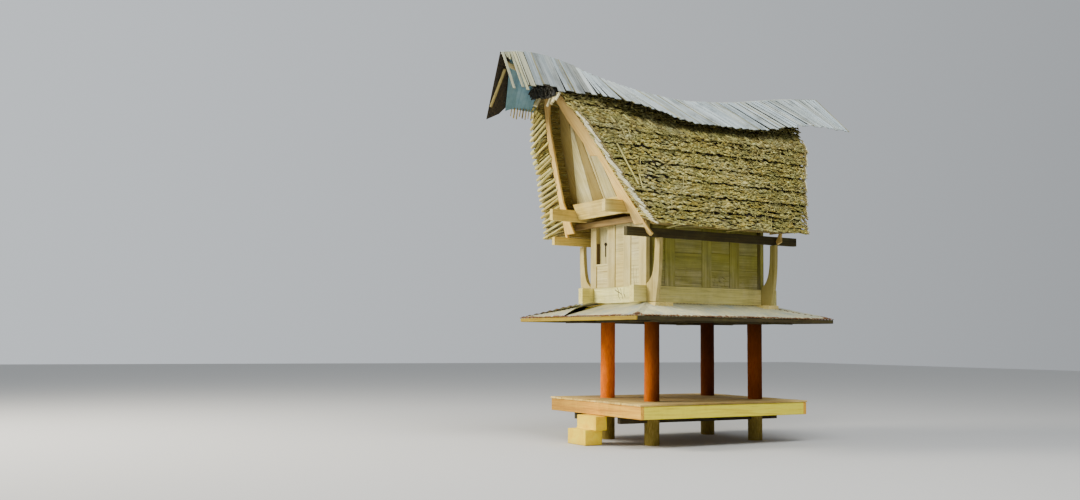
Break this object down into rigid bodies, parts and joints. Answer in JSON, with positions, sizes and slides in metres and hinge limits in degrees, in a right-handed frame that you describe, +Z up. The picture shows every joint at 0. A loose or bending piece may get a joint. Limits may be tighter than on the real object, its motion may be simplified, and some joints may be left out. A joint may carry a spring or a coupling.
{
  "type": "tongkonan family rice barn on four posts",
  "caption": "Small raised rice barn with round posts, a plank sitting platform, a skirt roof, a boarded store with bowed corner posts and a saddle roof of bamboo thatch.",
  "frame": {"origin": "on the ground, below the middle of the ridge", "axes": "+Z up, -Y out of the front gable with the hatch, +X to the right when looking at the front gable from outside"},
  "size_m": [3.88, 7.51, 6.9608],
  "materials": {
    "palm_post": "oiled palm trunk, orange brown",
    "platform_wood": "bare tan planks",
    "deck_wood": "worn grey-brown planks",
    "bearer_wood": "rough weathered timber",
    "yellow_concrete": "yellow limewash on concrete",
    "pale_boards": "bleached bare boards",
    "weathered_beam": "weathered hewn beams",
    "dark_beam": "dark damp timber",
    "barge_wood": "bare tan barge boards",
    "bamboo_thatch": "layers of split bamboo, mossy",
    "grey_bamboo": "silver-grey weathered boards",
    "zinc_sheet": "weathered corrugated zinc, rusty at the edges"
  },
  "bodies": {
    "root": {"barge_board_front_left": "barge_wood", "barge_board_front_right": "barge_wood", "barge_board_rear_left": "barge_wood", "barge_board_rear_right": "barge_wood", "canopy_frame": "dark_beam", "canopy_sheet_front": "zinc_sheet", "canopy_sheet_left": "zinc_sheet", "canopy_sheet_rear": "zinc_sheet", "canopy_sheet_right": "zinc_sheet", "corner_post_front_left": "weathered_beam", "corner_post_front_right": "weathered_beam", "corner_post_rear_left": "weathered_beam", "corner_post_rear_right": "weathered_beam", "eave_beam_left": "weathered_beam", "eave_beam_right": "weathered_beam", "entry_steps": "yellow_concrete", "floor_beam_front": "weathered_beam", "floor_beam_rear": "weathered_beam", "front_wall": "pale_boards", "gable_foot_board_front": "weathered_beam", "gable_foot_board_rear": "weathered_beam", "gable_front": "pale_boards", "gable_rear": "pale_boards", "hatch_leaf": "pale_boards", "left_wall": "pale_boards", "lintel_front": "dark_beam", "lintel_rear": "dark_beam", "platform_bearer_left": "bearer_wood", "platform_bearer_right": "bearer_wood", "platform_deck": "deck_wood", "platform_frame": "platform_wood", "post_front_left": "palm_post", "post_front_right": "palm_post", "post_rear_left": "palm_post", "post_rear_right": "palm_post", "rear_wall": "pale_boards", "ridge_cap_left": "grey_bamboo", "ridge_cap_right": "grey_bamboo", "right_wall": "pale_boards", "sill_front": "pale_boards", "sill_left": "pale_boards", "sill_rear": "pale_boards", "sill_right": "pale_boards", "store_floor": "bearer_wood", "thatch_left": "bamboo_thatch", "thatch_right": "bamboo_thatch", "upper_beam_left": "weathered_beam", "upper_beam_right": "weathered_beam"}
  },
  "joints": []
}
